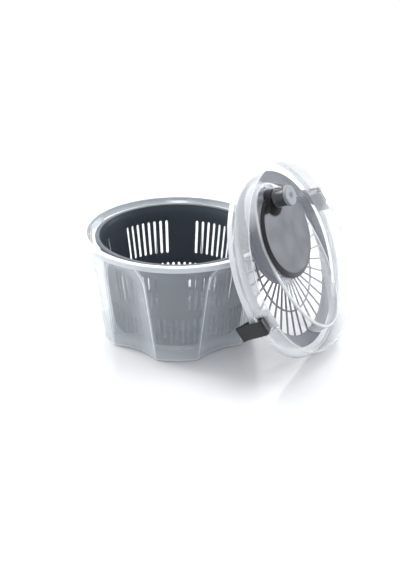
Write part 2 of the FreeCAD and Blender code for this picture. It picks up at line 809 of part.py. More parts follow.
def make_knob():
    pin = cylinder("knob_pin_radius", "knob_pin_top - crank_bottom - 1", y="knob_offset",
                   z="crank_bottom + 2")
    head = cylinder("knob_pin_head_radius", "knob_pin_head_height", y="knob_offset", z="knob_pin_top")
    on_crank = LEAN.multiply(CRANK_TURN)
    finish("knob_pin", fuse(pin, head), on_crank)

    knob = new_body("knob_body_turned")
    bore = "knob_pin_radius + running_gap"
    revolved(knob, [
        (bore, "knob_bottom"),
        ("knob_radius", "knob_bottom"),
        ("knob_radius - knob_waist", "0.7 * knob_bottom + 0.3 * knob_top"),
        ("knob_radius - 0.8 * knob_waist", "0.3 * knob_bottom + 0.7 * knob_top"),
        ("knob_radius + 0.3 * knob_waist", "knob_top"),
        ("knob_socket_radius", "knob_top"),
        ("knob_socket_radius", "knob_pin_top - 0.3"),
        (bore, "knob_pin_top - 0.3"),
    ])
    centre = Placement(Vector(0, number("knob_offset"), 0), Rotation())
    finish("knob_body", knob, on_crank.multiply(centre))

    cap = new_body("knob_cap_turned")
    revolved(cap, [
        ("0", "knob_top"),
        ("knob_cap_radius - 0.6", "knob_top"),
        ("knob_cap_radius", "knob_top + 0.8"),
        ("knob_cap_radius", "knob_cap_top - 1"),
        ("knob_cap_radius - 1.2", "knob_cap_top"),
        ("cap_dimple_radius", "knob_cap_top - 0.3 * cap_dimple_depth"),
        ("0", "knob_cap_top - cap_dimple_depth"),
    ])
    finish("knob_cap", cap, on_crank.multiply(centre))


# ---------------------------------------------------------------- strainer disc

def make_strainer():
    strainer = new_body("strainer_rings")
    ring_bottom = "strainer_top - strainer_thickness"
    revolved(strainer, [
        ("strainer_step_radius - 2", "spoke_bottom"),
        ("strainer_step_radius", "spoke_bottom"),
        ("strainer_step_radius", ring_bottom),
        ("strainer_radius", ring_bottom),
        ("strainer_radius", "strainer_top"),
        ("strainer_step_radius - 2", "strainer_top"),
    ], "outer_ring")
    spoke = sketch_on(strainer, "XY_Plane", "spoke_outline", "spoke_bottom")
    half = "0.5 * spoke_width"
    polygon(spoke, [
        ("spoke_start", f"-{half}"),
        ("strainer_step_radius - 1", f"-{half}"),
        ("strainer_step_radius - 1", half),
        ("spoke_start", half),
    ])
    first = pad(strainer, spoke, "spoke_top - spoke_bottom")
    around(strainer, first, "spoke_count")
    height = "spoke_top - spoke_bottom"
    cross_ring = tube("cross_ring_radius + 0.5 * cross_ring_width",
                      "cross_ring_radius - 0.5 * cross_ring_width", height, z="spoke_bottom")
    hub = cylinder("strainer_hub_radius", height, z="spoke_bottom")
    boss = cylinder("strainer_boss_radius", "strainer_boss_top - spoke_bottom", z="spoke_bottom")
    shaft_hole = cylinder("axle_radius", "strainer_boss_top + 1 - shaft_bottom", z="shaft_bottom")
    head_hole = cylinder("strainer_screw_recess", "strainer_web + 0.5 - spoke_bottom", z="spoke_bottom")
    screw_hole = cylinder("fixing_radius", "shaft_bottom + 1 - spoke_bottom", z="spoke_bottom")
    disc = fuse(strainer, cross_ring, hub, boss)
    finish("strainer_disc", cut(disc, shaft_hole, head_hole, screw_hole), LEAN)


def make_strainer_screw():
    head = cylinder("strainer_screw_head", "shaft_bottom - strainer_screw_bottom",
                    z="strainer_screw_bottom")
    shank = cylinder("fixing_radius", "fixing_depth - 0.5", z="strainer_web")
    finish("strainer_screw", fuse(head, shank), LEAN)


# ---------------------------------------------------------------- build, check and export

make_bowl()
make_spindle()
make_basket_bush()
make_basket()
make_lid_shell()
make_clip_pins()
make_clips()
make_gear_cover()
make_cover_screws()
make_bushes()
make_ring_gear()
make_drive_pinion()
make_crank_disc()
make_crank_axle()
make_knob()
make_strainer()
make_strainer_screw()
document.recompute()

for thing in document.Objects:
    if "Invalid" in thing.State or "Error" in thing.State:
        raise RuntimeError(f"{thing.Name} ({thing.Label}) failed: {thing.State}")

os.makedirs("parts", exist_ok=True)
for thing in parts:
    shape = thing.Shape
    if shape.isNull() or not shape.isValid():
        raise RuntimeError(f"{thing.Label} has no valid shape")
    print(f"{thing.Label}: {len(shape.Solids)} solid(s), {shape.Volume / 1000:.2f} cm3, "
          f"z {shape.BoundBox.ZMin:.2f} to {shape.BoundBox.ZMax:.2f}")
    shape.exportStep(f"parts/{thing.Label}.step")
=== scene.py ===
import json
import math

import bmesh
import bpy
import numpy as np
from mathutils import Matrix, Vector


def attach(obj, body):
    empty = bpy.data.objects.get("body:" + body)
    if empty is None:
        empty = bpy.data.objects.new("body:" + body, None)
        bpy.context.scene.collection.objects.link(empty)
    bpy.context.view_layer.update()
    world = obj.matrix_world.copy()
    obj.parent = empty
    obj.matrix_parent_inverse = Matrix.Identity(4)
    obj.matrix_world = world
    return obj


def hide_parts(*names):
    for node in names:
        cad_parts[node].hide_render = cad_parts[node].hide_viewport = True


MM = 0.001
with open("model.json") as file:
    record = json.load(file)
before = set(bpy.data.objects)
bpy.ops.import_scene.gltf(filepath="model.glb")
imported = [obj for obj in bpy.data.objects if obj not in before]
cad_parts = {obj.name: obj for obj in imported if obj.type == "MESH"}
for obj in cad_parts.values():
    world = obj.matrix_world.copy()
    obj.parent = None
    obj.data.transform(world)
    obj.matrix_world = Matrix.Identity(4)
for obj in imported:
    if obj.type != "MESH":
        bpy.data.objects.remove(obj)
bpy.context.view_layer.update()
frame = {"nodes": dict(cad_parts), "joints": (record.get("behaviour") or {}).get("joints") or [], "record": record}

joints = {joint["name"]: joint for joint in frame["joints"]}
lid_centre = Vector(joints["strainer_spin"]["pos_m"])
lid_out = Vector(joints["strainer_spin"]["axis"]).normalized()
lid_up = Vector(joints["clip_near_hinge"]["axis"]).normalized()
lid_across = lid_up.cross(lid_out)
LID = Matrix.Translation(lid_centre) @ Matrix((lid_across, lid_up, lid_out)).transposed().to_4x4()
BOWL = Matrix.Identity(4)


# ---------------------------------------------------------------- materials

def node_tree(name):
    material = bpy.data.materials.new(name)
    material.use_nodes = True
    tree = material.node_tree
    return material, tree, tree.nodes["Principled BSDF"]


def noise(tree, scale, detail=3.0, stretch=(1.0, 1.0, 1.0)):
    """A noise value over the piece's own coordinates."""
    coordinates = tree.nodes.new("ShaderNodeTexCoord")
    mapping = tree.nodes.new("ShaderNodeMapping")
    mapping.inputs["Scale"].default_value = stretch
    texture = tree.nodes.new("ShaderNodeTexNoise")
    texture.inputs["Scale"].default_value = scale
    texture.inputs["Detail"].default_value = detail
    tree.links.new(coordinates.outputs["Object"], mapping.inputs["Vector"])
    tree.links.new(mapping.outputs["Vector"], texture.inputs["Vector"])
    return texture.outputs["Fac"]


def spread(tree, value, low, high):
    """Maps a noise value to a range of numbers."""
    node = tree.nodes.new("ShaderNodeMapRange")
    node.inputs["From Min"].default_value = 0.3
    node.inputs["From Max"].default_value = 0.7
    node.inputs["To Min"].default_value = low
    node.inputs["To Max"].default_value = high
    tree.links.new(value, node.inputs["Value"])
    return node.outputs["Result"]


def moulded(name, colour, roughness, variation=0.06, grain=900.0, bump=0.05, cloud=18.0,
            ior=1.5, coat=0.0, metallic=0.0, stretch=(1.0, 1.0, 1.0), glint=(1.0, 1.0, 1.0)):
    """Moulded plastic or turned metal: faint clouding in its colour, uneven gloss and fine grain."""
    material, tree, shader = node_tree(name)
    ramp = tree.nodes.new("ShaderNodeValToRGB")
    darker = [channel * (1.0 - variation) for channel in colour]
    lighter = [min(1.0, channel * (1.0 + variation)) for channel in colour]
    ramp.color_ramp.elements[0].position = 0.3
    ramp.color_ramp.elements[0].color = (*darker, 1.0)
    ramp.color_ramp.elements[1].position = 0.7
    ramp.color_ramp.elements[1].color = (*lighter, 1.0)
    clouds = noise(tree, cloud, 4.0)
    tree.links.new(clouds, ramp.inputs["Fac"])
    tree.links.new(ramp.outputs["Color"], shader.inputs["Base Color"])
    gloss = spread(tree, noise(tree, cloud * 2.5, 5.0), roughness * 0.85, roughness * 1.15)
    tree.links.new(gloss, shader.inputs["Roughness"])
    fine = noise(tree, grain, 2.0, stretch)
    relief = tree.nodes.new("ShaderNodeBump")
    relief.inputs["Strength"].default_value = bump
    relief.inputs["Distance"].default_value = 0.0002
    tree.links.new(fine, relief.inputs["Height"])
    tree.links.new(relief.outputs["Normal"], shader.inputs["Normal"])
    shader.inputs["IOR"].default_value = ior
    shader.inputs["Metallic"].default_value = metallic
    shader.inputs["Coat Weight"].default_value = coat
    shader.inputs["Specular Tint"].default_value = (*glint, 1.0)
    return material


def calculated(tree, operation, first, second):
    """The result of a Math node, each input a number or another node's output."""
    node = tree.nodes.new("ShaderNodeMath")
    node.operation = operation
    for socket, value in zip(node.inputs, (first, second)):
        if isinstance(value, float):
            socket.default_value = value
        else:
            tree.links.new(value, socket)
    return node.outputs["Value"]


def milky(name, colour, roughness, coat, highlight_width, highlight_solid, glance_solid, glance_power):
    """Clear plastic with a milky veil, whiter where it is seen at a glance; the whiter lines along its edges are
    painted highlights, partly the plastic seen edge-on.
    """
    material = moulded(name, colour, roughness, 0.015, 500.0, 0.01, coat=coat)
    tree = material.node_tree
    veil = tree.nodes.new("ShaderNodeAttribute")
    veil.attribute_name = "veil"
    edge = tree.nodes.new("ShaderNodeAttribute")
    edge.attribute_name = "edge_distance"
    # the more solid line along each edge is a painted highlight, partly the plastic seen edge-on
    edge_highlight = tree.nodes.new("ShaderNodeMapRange")
    edge_highlight.interpolation_type = "SMOOTHSTEP"
    edge_highlight.inputs["From Min"].default_value = 0.0
    edge_highlight.inputs["From Max"].default_value = highlight_width
    edge_highlight.inputs["To Min"].default_value = highlight_solid
    edge_highlight.inputs["To Max"].default_value = 0.0
    tree.links.new(edge.outputs["Fac"], edge_highlight.inputs["Value"])
    glance = tree.nodes.new("ShaderNodeLayerWeight")
    glance.inputs["Blend"].default_value = 0.35
    turned_away = calculated(tree, "POWER", glance.outputs["Facing"], glance_power)
    rim_light = calculated(tree, "MULTIPLY", turned_away, glance_solid)
    solid = calculated(tree, "MAXIMUM", veil.outputs["Fac"], edge_highlight.outputs["Result"])
    missing = calculated(tree, "SUBTRACT", 1.0, solid)
    added = calculated(tree, "MULTIPLY", missing, rim_light)
    total = calculated(tree, "ADD", solid, added)
    tree.links.new(total, tree.nodes["Principled BSDF"].inputs["Alpha"])
    return material


LOOKS = {
    "bowl_plastic": milky("bowl_frosted", (0.82, 0.87, 0.92), 0.25, 0.3, 1.5, 0.9, 0.75, 1.3),
    "lid_plastic": milky("lid_clear", (0.90, 0.92, 0.95), 0.12, 0.4, 1.1, 0.95, 0.7, 3.0),
    "basket_plastic": moulded("basket_slate", (0.062, 0.080, 0.102), 0.42, 0.10, 1400.0, 0.10),
    "strainer_plastic": moulded("strainer_slate", (0.060, 0.075, 0.110), 0.48, 0.06, 1300.0, 0.08),
    "crank_plastic": moulded("crank_dark", (0.016, 0.017, 0.022), 0.32, 0.06, 1500.0, 0.05, ior=1.51,
                             glint=(0.90, 0.90, 1.0)),
    "knob_plastic": moulded("knob_dark", (0.065, 0.067, 0.072), 0.25, 0.06, 1500.0, 0.05, coat=0.4),
    "cap_plastic": moulded("cap_grey", (0.30, 0.315, 0.345), 0.40, 0.05, 1500.0, 0.08),
    "clip_plastic": moulded("clip_charcoal", (0.012, 0.013, 0.014), 0.34, 0.10, 1500.0, 0.12),
    "housing_plastic": moulded("housing_grey", (0.22, 0.24, 0.30), 0.42, 0.05, 1300.0, 0.08),
    "white_plastic": moulded("bush_white", (0.80, 0.80, 0.78), 0.35, 0.03, 1200.0, 0.05),
    "gear_plastic": moulded("gear_natural", (0.72, 0.71, 0.67), 0.38, 0.04, 1200.0, 0.06),
    "steel": moulded("steel_turned", (0.62, 0.63, 0.65), 0.28, 0.05, 300.0, 0.10, metallic=1.0,
                     stretch=(1.0, 1.0, 12.0)),
}
# painted shade: a duller, darker finish where the knob's shadow falls on the disc
CRANK_SHADE_MATTE = moulded("crank_shade_matte", (0.012, 0.012, 0.013), 0.62, 0.10, 900.0, 0.25, ior=1.22)


# ---------------------------------------------------------------- mesh helpers

def piece(name, vertices, faces, place, body, slot, nodes, crease=35.0):
    """A finished mesh piece: vertices in millimetres in the frame of place."""
    mesh = bpy.data.meshes.new(name)
    mesh.from_pydata((np.asarray(vertices, float) * MM).tolist(), [], faces)
    mesh.transform(place)
    mesh.validate()
    work = bmesh.new()
    work.from_mesh(mesh)
    bmesh.ops.recalc_face_normals(work, faces=work.faces)
    work.to_mesh(mesh)
    work.free()
    made = bpy.data.objects.new(name, mesh)
    bpy.context.scene.collection.objects.link(made)
    dress(made, body, slot, nodes, crease)
    return made


def dress(made, body, slot, nodes, crease=35.0):
    made.data.polygons.foreach_set("use_smooth", [True] * len(made.data.polygons))
    made.data.set_sharp_from_angle(angle=math.radians(crease))
    made.data.materials.clear()
    made.data.materials.append(LOOKS[slot])
    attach(made, body)
    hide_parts(*nodes)


def veiled(made, place, amounts):
    """Keeps how milky each point is, and how far it is from the nearest edge, in the mesh."""
    points = np.empty(len(made.data.vertices) * 3)
    made.data.vertices.foreach_get("co", points)
    back = np.array(place.inverted())
    local = (points.reshape(-1, 3) @ back[:3, :3].T + back[:3, 3]) / MM
    for name, values in zip(("veil", "edge_distance"), amounts(*local.T)):
        kept = made.data.attributes.new(name, "FLOAT", "POINT")
        kept.data.foreach_set("value", np.broadcast_to(values, len(local)).astype(float).tolist())


def rounded(corners, radius=0.6, steps=3, closed=True):
    """Rounds the corners of an outline of (radius, height) pairs."""
    count = len(corners)
    outline = []
    for index, corner in enumerate(corners):
        here = np.array(corner, float)
        if not closed and index in (0, count - 1):
            outline.append(here)
            continue
        before = np.array(corners[index - 1], float) - here
        after = np.array(corners[(index + 1) % count], float) - here
        reach = min(radius, 0.45 * np.linalg.norm(before), 0.45 * np.linalg.norm(after))
        start = here + before / np.linalg.norm(before) * reach
        end = here + after / np.linalg.norm(after) * reach
        for step in range(steps + 1):
            t = step / steps
            outline.append((1 - t) ** 2 * start + 2 * t * (1 - t) * here + t * t * end)
    return [tuple(point) for point in outline]


def ring_faces(rows, count, closed):
    """Quads between neighbouring rings of the same number of points."""
    faces = []
    pairs = [(row, row + 1) for row in range(rows - 1)]
    if closed:
        pairs.append((rows - 1, 0))
    for low, high in pairs:
        for index in range(count):
            following = (index + 1) % count
            faces.append((low * count + index, low * count + following,
                          high * count + following, high * count + index))
    return faces


def turned(outline, count=96, centre=(0.0, 0.0)):
    """Vertices and faces of an outline turned about the Z axis through centre."""
    on_axis = [abs(radius) < 1e-6 for radius, height in outline]
    vertices, rings, faces = [], [], []
    for (radius, height), axial in zip(outline, on_axis):
        rings.append(len(vertices))
        angles = [0.0] if axial else [2 * math.pi * k / count for k in range(count)]
        for angle in angles:
            vertices.append((centre[0] + radius * math.cos(angle),
                             centre[1] + radius * math.sin(angle), height))
    total = len(outline)
    for row in range(total):
        following = (row + 1) % total
        a, b = rings[row], rings[following]
        if on_axis[row] and on_axis[following]:
            continue
        for k in range(count):
            n = (k + 1) % count
            if on_axis[row]:
                faces.append((a, b + n, b + k))
            elif on_axis[following]:
                faces.append((a + k, a + n, b))
            else:
                faces.append((a + k, a + n, b + n, b + k))
    return vertices, faces


def joined(*meshes):
    """Several lists of vertices and faces as one."""
    vertices, faces = [], []
    for more_vertices, more_faces in meshes:
        offset = len(vertices)
        vertices += [tuple(v) for v in more_vertices]
        faces += [tuple(offset + index for index in face) for face in more_faces]
    return vertices, faces


def modified(made, kind, **settings):
    """Adds a modifier and keeps its result in the mesh."""
    modifier = made.modifiers.new(kind.lower(), kind)
    for name, value in settings.items():
        setattr(modifier, name, value)
    graph = bpy.context.evaluated_depsgraph_get()
    result = bpy.data.meshes.new_from_object(made.evaluated_get(graph))
    made.modifiers.clear()
    made.data = result
    return made


def bevelled_bar(length, width, low, high, bevel, start, turn):
    """A bar along a radius, its long edges bevelled."""
    half = 0.5 * width
    section = [(-half, low), (half, low), (half, high - bevel), (half - bevel, high),
               (bevel - half, high), (-half, high - bevel)]
    cosine, sine = math.cos(turn), math.sin(turn)
    vertices = []
    for along in (start, start + length):
        for across, height in section:
            vertices.append((along * cosine - across * sine, along * sine + across * cosine, height))
    count = len(section)
    faces = [tuple(range(count)), tuple(range(2 * count - 1, count - 1, -1))]
    for k in range(count):
        n = (k + 1) % count
        faces.append((k, n, count + n, count + k))
    return vertices, faces


# ---------------------------------------------------------------- bowl

BOWL_HEIGHT = 143.0
BASE_RADIUS = 99.5
TOP_RADIUS = 119.5
BOWL_WALL = 2.2
RIM_RADIUS = 125.4
RIM_INNER = 116.2
RIM_LIP = 7.0
RECESS_RADIUS = 80.0
RECESS_DEPTH = 12.5
RECESS_HEIGHT = 94.0
RECESS_LEAN = math.radians(9.5)
LOBES = 5


def softest(first, second, blend):
    """The smaller of two lengths, with the corner between them rounded."""
    gap = np.maximum(blend - np.abs(first - second), 0.0) / blend
    return np.minimum(first, second) - gap * gap * blend * 0.25


def recess_distance(angles, height, extra):
    """How far a level ray from the bowl's axis goes before it meets a recess column."""
    distance = BASE_RADIUS - RECESS_DEPTH + RECESS_RADIUS
    radius = RECESS_RADIUS + extra
    lean = np.array([math.sin(RECESS_LEAN), 0.0, math.cos(RECESS_LEAN)])
    foot = np.array([distance, 0.0, 0.0])
    top = foot + lean * RECESS_HEIGHT
    nearest = np.full(len(angles), 1e4)
    for index in range(LOBES):
        bearing = math.radians(90.0 + 360.0 * index / LOBES)
        off = angles - bearing
        ray = np.stack([np.cos(off), np.sin(off), np.zeros_like(off)], axis=1)
        start = np.array([0.0, 0.0, height])
        # the leaning column
        flat_ray = ray - np.outer(ray @ lean, lean)
        offset = start - foot
        flat_offset = offset - (offset @ lean) * lean
        a = np.sum(flat_ray ** 2, axis=1)
        b = flat_ray @ flat_offset
        c = flat_offset @ flat_offset - radius ** 2
        root = b * b - a * c
        hit = np.where(root > 0, (-b - np.sqrt(np.maximum(root, 0))) / a, 1e4)
        along = (start + ray * hit[:, None] - foot) @ lean
        column = np.where((along < RECESS_HEIGHT) & (np.cos(off) > 0), hit, 1e4)
        # its round top
        b = ray @ (start - top)
        c = (start - top) @ (start - top) - radius ** 2
        root = b * b - c
        hit = np.where(root > 0, -b - np.sqrt(np.maximum(root, 0)), 1e4)
        along = (start + ray * hit[:, None] - foot) @ lean
        ball = np.where((along >= RECESS_HEIGHT) & (np.cos(off) > 0), hit, 1e4)
        nearest = np.minimum(nearest, np.minimum(column, ball))
    return nearest


def wall_radius(height):
    share = np.maximum(0.0, height - 4.0) / (BOWL_HEIGHT - 5.0)
    return BASE_RADIUS + 0.6 + (TOP_RADIUS - BASE_RADIUS - 0.6) * share


def bowl_ring(angles, radius, height, extra, lobed):
    """One ring of the bowl, pressed in where a recess reaches it."""
    if lobed:
        plain = wall_radius(height) - extra
        shaped = softest(np.full(len(angles), plain), recess_distance(angles, height, extra), 3.2)
        radius = radius * shaped / plain
    else:
        radius = np.full(len(angles), radius)
    heights = np.full(len(angles), height)
    return np.stack([radius * np.cos(angles), radius * np.sin(angles), heights], axis=1)


def make_bowl():
    count = 720
    angles = np.linspace(0, 2 * math.pi, count, endpoint=False)
    rows = []
    base = BASE_RADIUS - 2.6
    for radius in (20.0, 45.0, 70.0, 86.0, base - 2.0):
        rows.append((radius, 0.0, 0.0, True))
    for step in range(7):
        turn = 0.5 * math.pi * step / 6
        rows.append((base + 3.0 * math.sin(turn), 2.6 - 2.6 * math.cos(turn), 0.0, True))
    for height in np.concatenate([np.linspace(7.0, 88.0, 34), np.linspace(90.0, 133.0, 33)]):
        rows.append((wall_radius(height), height, 0.0, True))
    lip_inner = RIM_RADIUS - BOWL_WALL + 0.2
    lip_bottom = BOWL_HEIGHT - RIM_LIP
    under = BOWL_HEIGHT - BOWL_WALL
    rim = [(wall_radius(134.0), 134.0), (wall_radius(under), under), (lip_inner, under),
           (lip_inner, lip_bottom), (RIM_RADIUS, lip_bottom), (RIM_RADIUS, BOWL_HEIGHT),
           (RIM_INNER + 1.0, BOWL_HEIGHT), (RIM_INNER + 1.0, BOWL_HEIGHT - 5.0)]
    for radius, height in rounded(rim, 1.0, 4, closed=False):
        rows.append((radius, height, 0.0, False))
    for height in np.concatenate([np.linspace(135.0, 90.0, 34), np.linspace(88.0, 9.0, 32)]):
        rows.append((wall_radius(height) - BOWL_WALL, height, BOWL_WALL, True))
    for step in range(6):
        turn = 0.5 * math.pi * step / 5
        rows.append((base - 3.2 + 4.2 * math.cos(turn), BOWL_WALL + 4.0 - 4.0 * math.sin(turn),
                     BOWL_WALL, True))
    for radius in (80.0, 55.0, 30.0):
        rows.append((radius, BOWL_WALL, BOWL_WALL, True))
    for radius, height in rounded([(16.0, BOWL_WALL), (13.0, BOWL_WALL), (10.2, 8.0), (5.0, 8.0),
                                   (5.0, 5.0)], 0.8, 3, closed=False):
        rows.append((radius, height, 0.0, False))
    vertices = np.concatenate([bowl_ring(angles, *row) for row in rows])
    faces = ring_faces(len(rows), count, closed=False)
    bottom, top = len(vertices), len(vertices) + 1
    vertices = np.concatenate([vertices, [[0, 0, 0], [0, 0, 5.0]]])
    last = (len(rows) - 1) * count
    for k in range(count):
        n = (k + 1) % count
        faces.append((n, k, bottom))
        faces.append((last + k, last + n, top))
    shell = piece("bowl_shell", vertices, faces, BOWL, "bowl", "bowl_plastic", ["bowl"], 50.0)
    veiled(shell, BOWL, bowl_veil)


def bowl_veil(x, y, z):
    """Milky wall; the whiter lines at the recess edges, the rim and the foot are painted highlights, partly the
    plastic seen edge-on.
    """
    angles = np.arctan2(y, x)
    radius = np.hypot(x, y)
    gap = recess_gap(angles, z)
    recess = np.abs(gap)
    rim = np.hypot(radius - RIM_RADIUS, z - BOWL_HEIGHT)
    lip = np.hypot(radius - RIM_RADIUS, z - BOWL_HEIGHT + RIM_LIP)
    outside = wall_radius(z) - np.maximum(gap, 0.0)
    on_foot = (radius > outside - 3.6) & ((z < 2.1) | (radius > outside - 1.2))
    foot = np.where(on_foot, 0.36 * np.abs(z - 2.8), 9.0)
    on_wall = (z > 3.0) & (z < BOWL_HEIGHT - 9.0)
    edge = np.minimum(np.minimum(rim, lip), np.minimum(foot, np.where(on_wall, recess, 9.0)))
    foot_haze = 0.42 * np.clip((34.0 - z) / 34.0, 0.0, 1.0) ** 1.4
    # on the lobe side of each recess edge the veil rises in a soft band: a painted highlight
    lobe_edge_highlight = np.where(gap < 0.0, 0.20 * np.exp(-(gap / 1.8) ** 2), 0.0)
    wall = 0.12 + foot_haze + np.where(on_wall, lobe_edge_highlight, 0.0)
    veil = np.where(z > BOWL_HEIGHT - RIM_LIP - 1.0, 0.86, np.where(z < 2.6, 0.20, wall))
    return veil, edge


def recess_gap(angles, height):
    """How far the plain wall is from the recess columns, level by level."""
    gap = np.empty(len(angles))
    for level in np.unique(np.round(height, 2)):
        here = np.abs(height - level) < 0.006
        gap[here] = wall_radius(level) - recess_distance(angles[here], level, 0.0)
    return gap


# ---------------------------------------------------------------- basket

SLOT_HALF = 1.8
PITCH = math.radians(5.0)
BASKET_RIM = 138.0
BASKET_FLOOR = 16.0
BASKET_WALL = 1.8
BASKET_FOOT_RADIUS = 83.2
BASKET_MOUTH_RADIUS = 101.0


def basket_inner(height):
    share = (height - BASKET_FLOOR) / (BASKET_RIM - 3.0 - BASKET_FLOOR)
    return BASKET_FOOT_RADIUS + (BASKET_MOUTH_RADIUS - BASKET_FOOT_RADIUS) * share


def make_basket():
    sectors = 72
    rows = []
    slot_rows = {}

    def slot(name, ends):
        """Rows of one band of slots, narrowing to round ends."""
        first = len(rows)
        (r0, z0), (r1, z1) = ends
        length = math.hypot(r1 - r0, z1 - z0)
        for distance in (0.0, 0.5, SLOT_HALF, 0.34 * length, 0.67 * length, length - SLOT_HALF,
                         length - 0.5, length):
            share = distance / length
            end = min(distance, length - distance)
            half = SLOT_HALF
            if end < SLOT_HALF:
                half = max(0.7, math.sqrt(SLOT_HALF ** 2 - (SLOT_HALF - end) ** 2))
            rows.append((r0 + (r1 - r0) * share, z0 + (z1 - z0) * share, half))
        slot_rows[name] = (first, len(rows) - 1)

    for radius, height in rounded([(3.0, 36.2), (11.5, 36.2), (11.5, 26.0), (19.5, BASKET_FLOOR),
                                   (30.0, BASKET_FLOOR)], 2.0, 3, closed=False):
        rows.append((radius, height, 0.2 * radius * PITCH))
    slot("floor", ((36.0, BASKET_FLOOR), (68.0, BASKET_FLOOR)))
    rows.append((80.0, BASKET_FLOOR, SLOT_HALF))
    rows.append((basket_inner(17.2), 17.0, SLOT_HALF))
    slot("low", ((basket_inner(20.0), 20.0), (basket_inner(56.0), 56.0)))
    rows.append((basket_inner(63.0), 63.0, SLOT_HALF))
    slot("high", ((basket_inner(70.0), 70.0), (basket_inner(116.0), 116.0)))
    rows.append((basket_inner(126.0), 126.0, SLOT_HALF))
    rows.append((basket_inner(BASKET_RIM - 2.0), BASKET_RIM - 2.0, SLOT_HALF))

    vertices = []
    for radius, height, half in rows:
        half_angle = min(half / radius, 0.36 * PITCH)
        for sector in range(sectors):
            for angle in (sector * PITCH - half_angle, sector * PITCH + half_angle,
                          (sector + 0.5) * PITCH):
                vertices.append((radius * math.cos(angle), radius * math.sin(angle), height))
    count = 3 * sectors

    def is_open(row, column):
        if column % 3:
            return False
        sector = column // 3
        for name, (first, last) in slot_rows.items():
            if first <= row < last:
                wanted = {"floor": sector % 3 == 0, "low": True,
                          "high": (sector + 4) % 12 < 8}
                return wanted[name]
        return False

    faces = []
    for row in range(len(rows) - 1):
        for column in range(count):
            if not is_open(row, column):
                n = (column + 1) % count
                faces.append((row * count + column, row * count + n,
                              (row + 1) * count + n, (row + 1) * count + column))
    hub = len(vertices)
    vertices.append((0.0, 0.0, 36.2))
    faces += [((k + 1) % count, k, hub) for k in range(count)]
    shell = piece("basket_shell", vertices, faces, BOWL, "basket", "basket_plastic", ["basket"], 40.0)
    # the wall thickens outwards and downwards from its inner skin
    side = 1.0 if faces_outward(shell) else -1.0
    modified(shell, "SOLIDIFY", thickness=BASKET_WALL * MM, offset=side, use_even_offset=True)
    modified(shell, "BEVEL", width=0.35 * MM, segments=2, limit_method="ANGLE",
             angle_limit=math.radians(50), use_clamp_overlap=False)
    dress(shell, "basket", "basket_plastic", ["basket"], 40.0)
    rim_low = BASKET_RIM - 3.0
    profile = rounded([(BASKET_MOUTH_RADIUS, rim_low - 2.0), (102.9, rim_low - 2.0),
                       (103.4, rim_low), (107.0, rim_low),
                       (107.0, BASKET_RIM), (101.4, BASKET_RIM)], 0.9, 3)
    vertices, faces = turned(profile, 216)
    return piece("basket_rim", vertices, faces, BOWL, "basket", "basket_plastic", ["basket"])


def faces_outward(made):
    """Whether most of the wall's normals point away from the Z axis."""
    total = sum(face.normal.x * face.center.x + face.normal.y * face.center.y
                for face in made.data.polygons)
    return total >= 0


# ---------------------------------------------------------------- lid shell

LID_RADIUS = 127.5
LIP = 6.0
LIP_WALL = 1.4
LID_WALL = 2.0
BAND_TOP = 22.0
BAND_TOP_RADIUS = 123.4
OVAL = (62.0, 111.0)
OVAL_DRAFT = 3.0
OVAL_TOP = 16.0
CRANK_Y = 39.0
HOLE_RADIUS = 52.6
CLIP_HINGE = 121.0
CLIP_HEIGHT = 6.4
CLIP_HALF = 11.0
LUG = 3.0
SHIELD_TOP = 19.0


